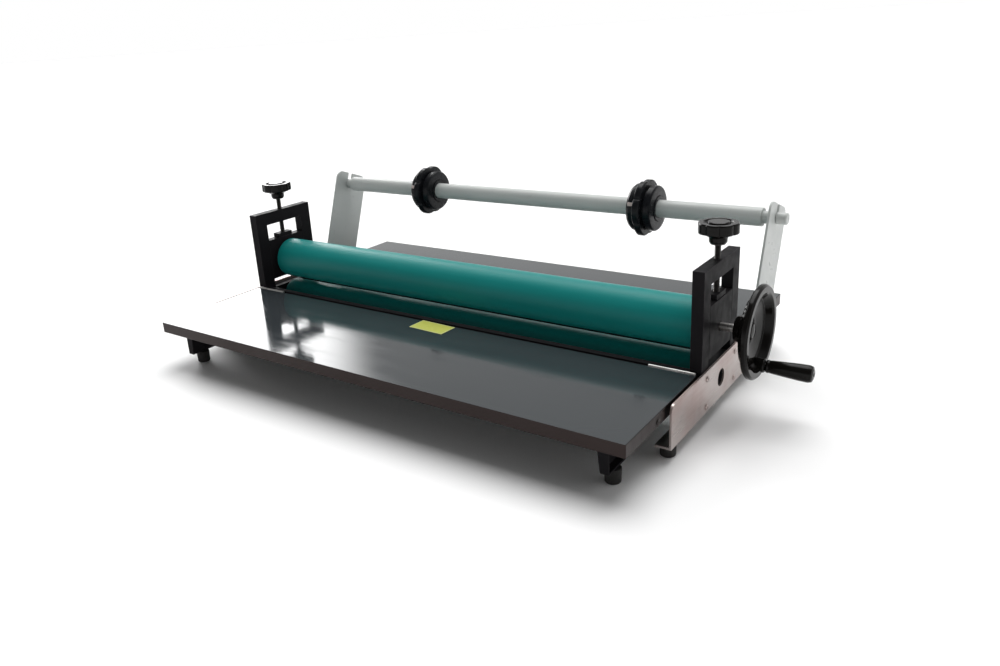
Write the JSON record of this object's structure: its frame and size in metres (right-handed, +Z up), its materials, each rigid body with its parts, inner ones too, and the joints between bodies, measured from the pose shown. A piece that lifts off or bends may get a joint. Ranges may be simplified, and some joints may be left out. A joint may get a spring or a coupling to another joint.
{
  "type": "manual cold roll laminator",
  "caption": "Bench-top hand-cranked cold laminator: two green rubber rollers in black end frames, screw-adjusted nip, folding feed table, rear table and supply shaft with core hubs.",
  "frame": {"origin": "on the floor under the middle of the bounding box; the middle of the rollers is at x -0.040, y -0.005", "axes": "+X along the rollers towards the handwheel, +Y from the feed table towards the delivery table, +Z up"},
  "size_m": [0.846, 0.484, 0.227],
  "materials": {
    "frame_paint": "satin",
    "table_paint": "gloss",
    "galvanised_sheet": "satin",
    "grey_paint": "satin",
    "bare_steel": "bright",
    "roller_rubber": "smooth",
    "foot_rubber": "matt",
    "bakelite": "gloss",
    "hub_plastic": "semi-gloss",
    "label_paper": "matt"
  },
  "bodies": {
    "base": {"end_frame_right": "frame_paint", "end_frame_left": "frame_paint", "side_plate_right": "galvanised_sheet", "side_plate_left": "galvanised_sheet", "lower_block_right": "frame_paint", "lower_block_left": "frame_paint", "upright_right": "grey_paint", "upright_left": "grey_paint", "side_screw_front_low_right": "bare_steel", "side_screw_front_low_left": "bare_steel", "side_screw_front_high_right": "bare_steel", "side_screw_front_high_left": "bare_steel", "side_screw_rear_low_right": "bare_steel", "side_screw_rear_low_left": "bare_steel", "side_screw_rear_high_right": "bare_steel", "side_screw_rear_high_left": "bare_steel", "front_rail": "frame_paint", "rear_rail": "frame_paint", "delivery_table": "table_paint", "delivery_bracket_right": "frame_paint", "delivery_bracket_left": "frame_paint", "delivery_foot_right": "foot_rubber", "delivery_foot_left": "foot_rubber", "side_foot_front_right": "foot_rubber", "side_foot_front_left": "foot_rubber", "side_foot_rear_right": "foot_rubber", "side_foot_rear_left": "foot_rubber", "hinge_fixed_right": "bare_steel", "hinge_fixed_left": "bare_steel"},
    "feed_leaf": {"feed_table": "table_paint", "blank_label": "label_paper", "feed_bracket_right": "frame_paint", "feed_bracket_left": "frame_paint", "feed_foot_right": "foot_rubber", "feed_foot_left": "foot_rubber", "hinge_moving_right": "bare_steel", "hinge_moving_left": "bare_steel"},
    "carriage": {"upper_block_right": "frame_paint", "upper_block_left": "frame_paint", "screw_retainer_right": "frame_paint", "screw_retainer_left": "frame_paint"},
    "screw_right": {"pressure_screw_right": "bare_steel", "star_knob_right": "bakelite"},
    "screw_left": {"pressure_screw_left": "bare_steel", "star_knob_left": "bakelite"},
    "upper_roller": {"upper_shaft": "bare_steel", "upper_sleeve": "roller_rubber", "handwheel": "bakelite"},
    "grip": {"wheel_handle": "bakelite"},
    "lower_roller": {"lower_shaft": "bare_steel", "lower_sleeve": "roller_rubber"},
    "supply_bearings": {"supply_plug_right": "grey_paint", "supply_plug_left": "grey_paint"},
    "supply_bar": {"supply_tube": "grey_paint"},
    "hub_left": {"core_hub_left": "hub_plastic"},
    "hub_right": {"core_hub_right": "hub_plastic"},
    "ring_left": {"lock_ring_left": "hub_plastic"},
    "ring_right": {"lock_ring_right": "hub_plastic"}
  },
  "joints": [
    {"name": "feed_table_fold", "type": "hinge", "parent": "base", "child": "feed_leaf", "pos_m": [-0.04, -0.0642, 0.0665], "axis": [-1, 0, 0], "range_deg": [0, 90]},
    {"name": "nip_opening", "type": "slide", "parent": "base", "child": "carriage", "axis": [0, 0, 1], "range_m": [-0.007, 0.01]},
    {"name": "screw_right_turn", "type": "hinge", "parent": "carriage", "child": "screw_right", "pos_m": [0.31625, -0.005, 0.18], "axis": [0, 0, 1], "range_deg": [-2020, 2890]},
    {"name": "screw_left_turn", "type": "hinge", "parent": "carriage", "child": "screw_left", "pos_m": [-0.39625, -0.005, 0.18], "axis": [0, 0, 1], "range_deg": [-2020, 2890]},
    {"name": "upper_roller_spin", "type": "hinge", "parent": "carriage", "child": "upper_roller", "pos_m": [-0.04, -0.005, 0.1037], "axis": [1, 0, 0], "continuous": true},
    {"name": "grip_spin", "type": "hinge", "parent": "upper_roller", "child": "grip", "pos_m": [0.4, 0.006, 0.0605], "axis": [1, 0, 0], "continuous": true},
    {"name": "lower_roller_spin", "type": "hinge", "parent": "base", "child": "lower_roller", "pos_m": [-0.04, -0.005, 0.0415], "axis": [1, 0, 0], "continuous": true},
    {"name": "supply_lift", "type": "slide", "parent": "base", "child": "supply_bearings", "axis": [0, 0.342, 0.9397], "range_m": [0, 0.03]},
    {"name": "supply_spin", "type": "hinge", "parent": "supply_bearings", "child": "supply_bar", "pos_m": [-0.04, 0.167, 0.19], "axis": [1, 0, 0], "continuous": true},
    {"name": "hub_left_slide", "type": "slide", "parent": "supply_bar", "child": "hub_left", "axis": [1, 0, 0], "range_m": [-0.13, 0.13]},
    {"name": "hub_right_slide", "type": "slide", "parent": "supply_bar", "child": "hub_right", "axis": [1, 0, 0], "range_m": [-0.13, 0.13]},
    {"name": "ring_left_turn", "type": "hinge", "parent": "hub_left", "child": "ring_left", "pos_m": [-0.224, 0.167, 0.19], "axis": [1, 0, 0], "range_deg": [-60, 60]},
    {"name": "ring_right_turn", "type": "hinge", "parent": "hub_right", "child": "ring_right", "pos_m": [0.154, 0.167, 0.19], "axis": [1, 0, 0], "range_deg": [-60, 60]}
  ],
  "couplings": [
    {"joint": "screw_right_turn", "follows": "nip_opening", "rad_per_m": 5026.5},
    {"joint": "screw_left_turn", "follows": "nip_opening", "rad_per_m": 5026.5},
    {"joint": "lower_roller_spin", "follows": "upper_roller_spin", "ratio": -1}
  ]
}
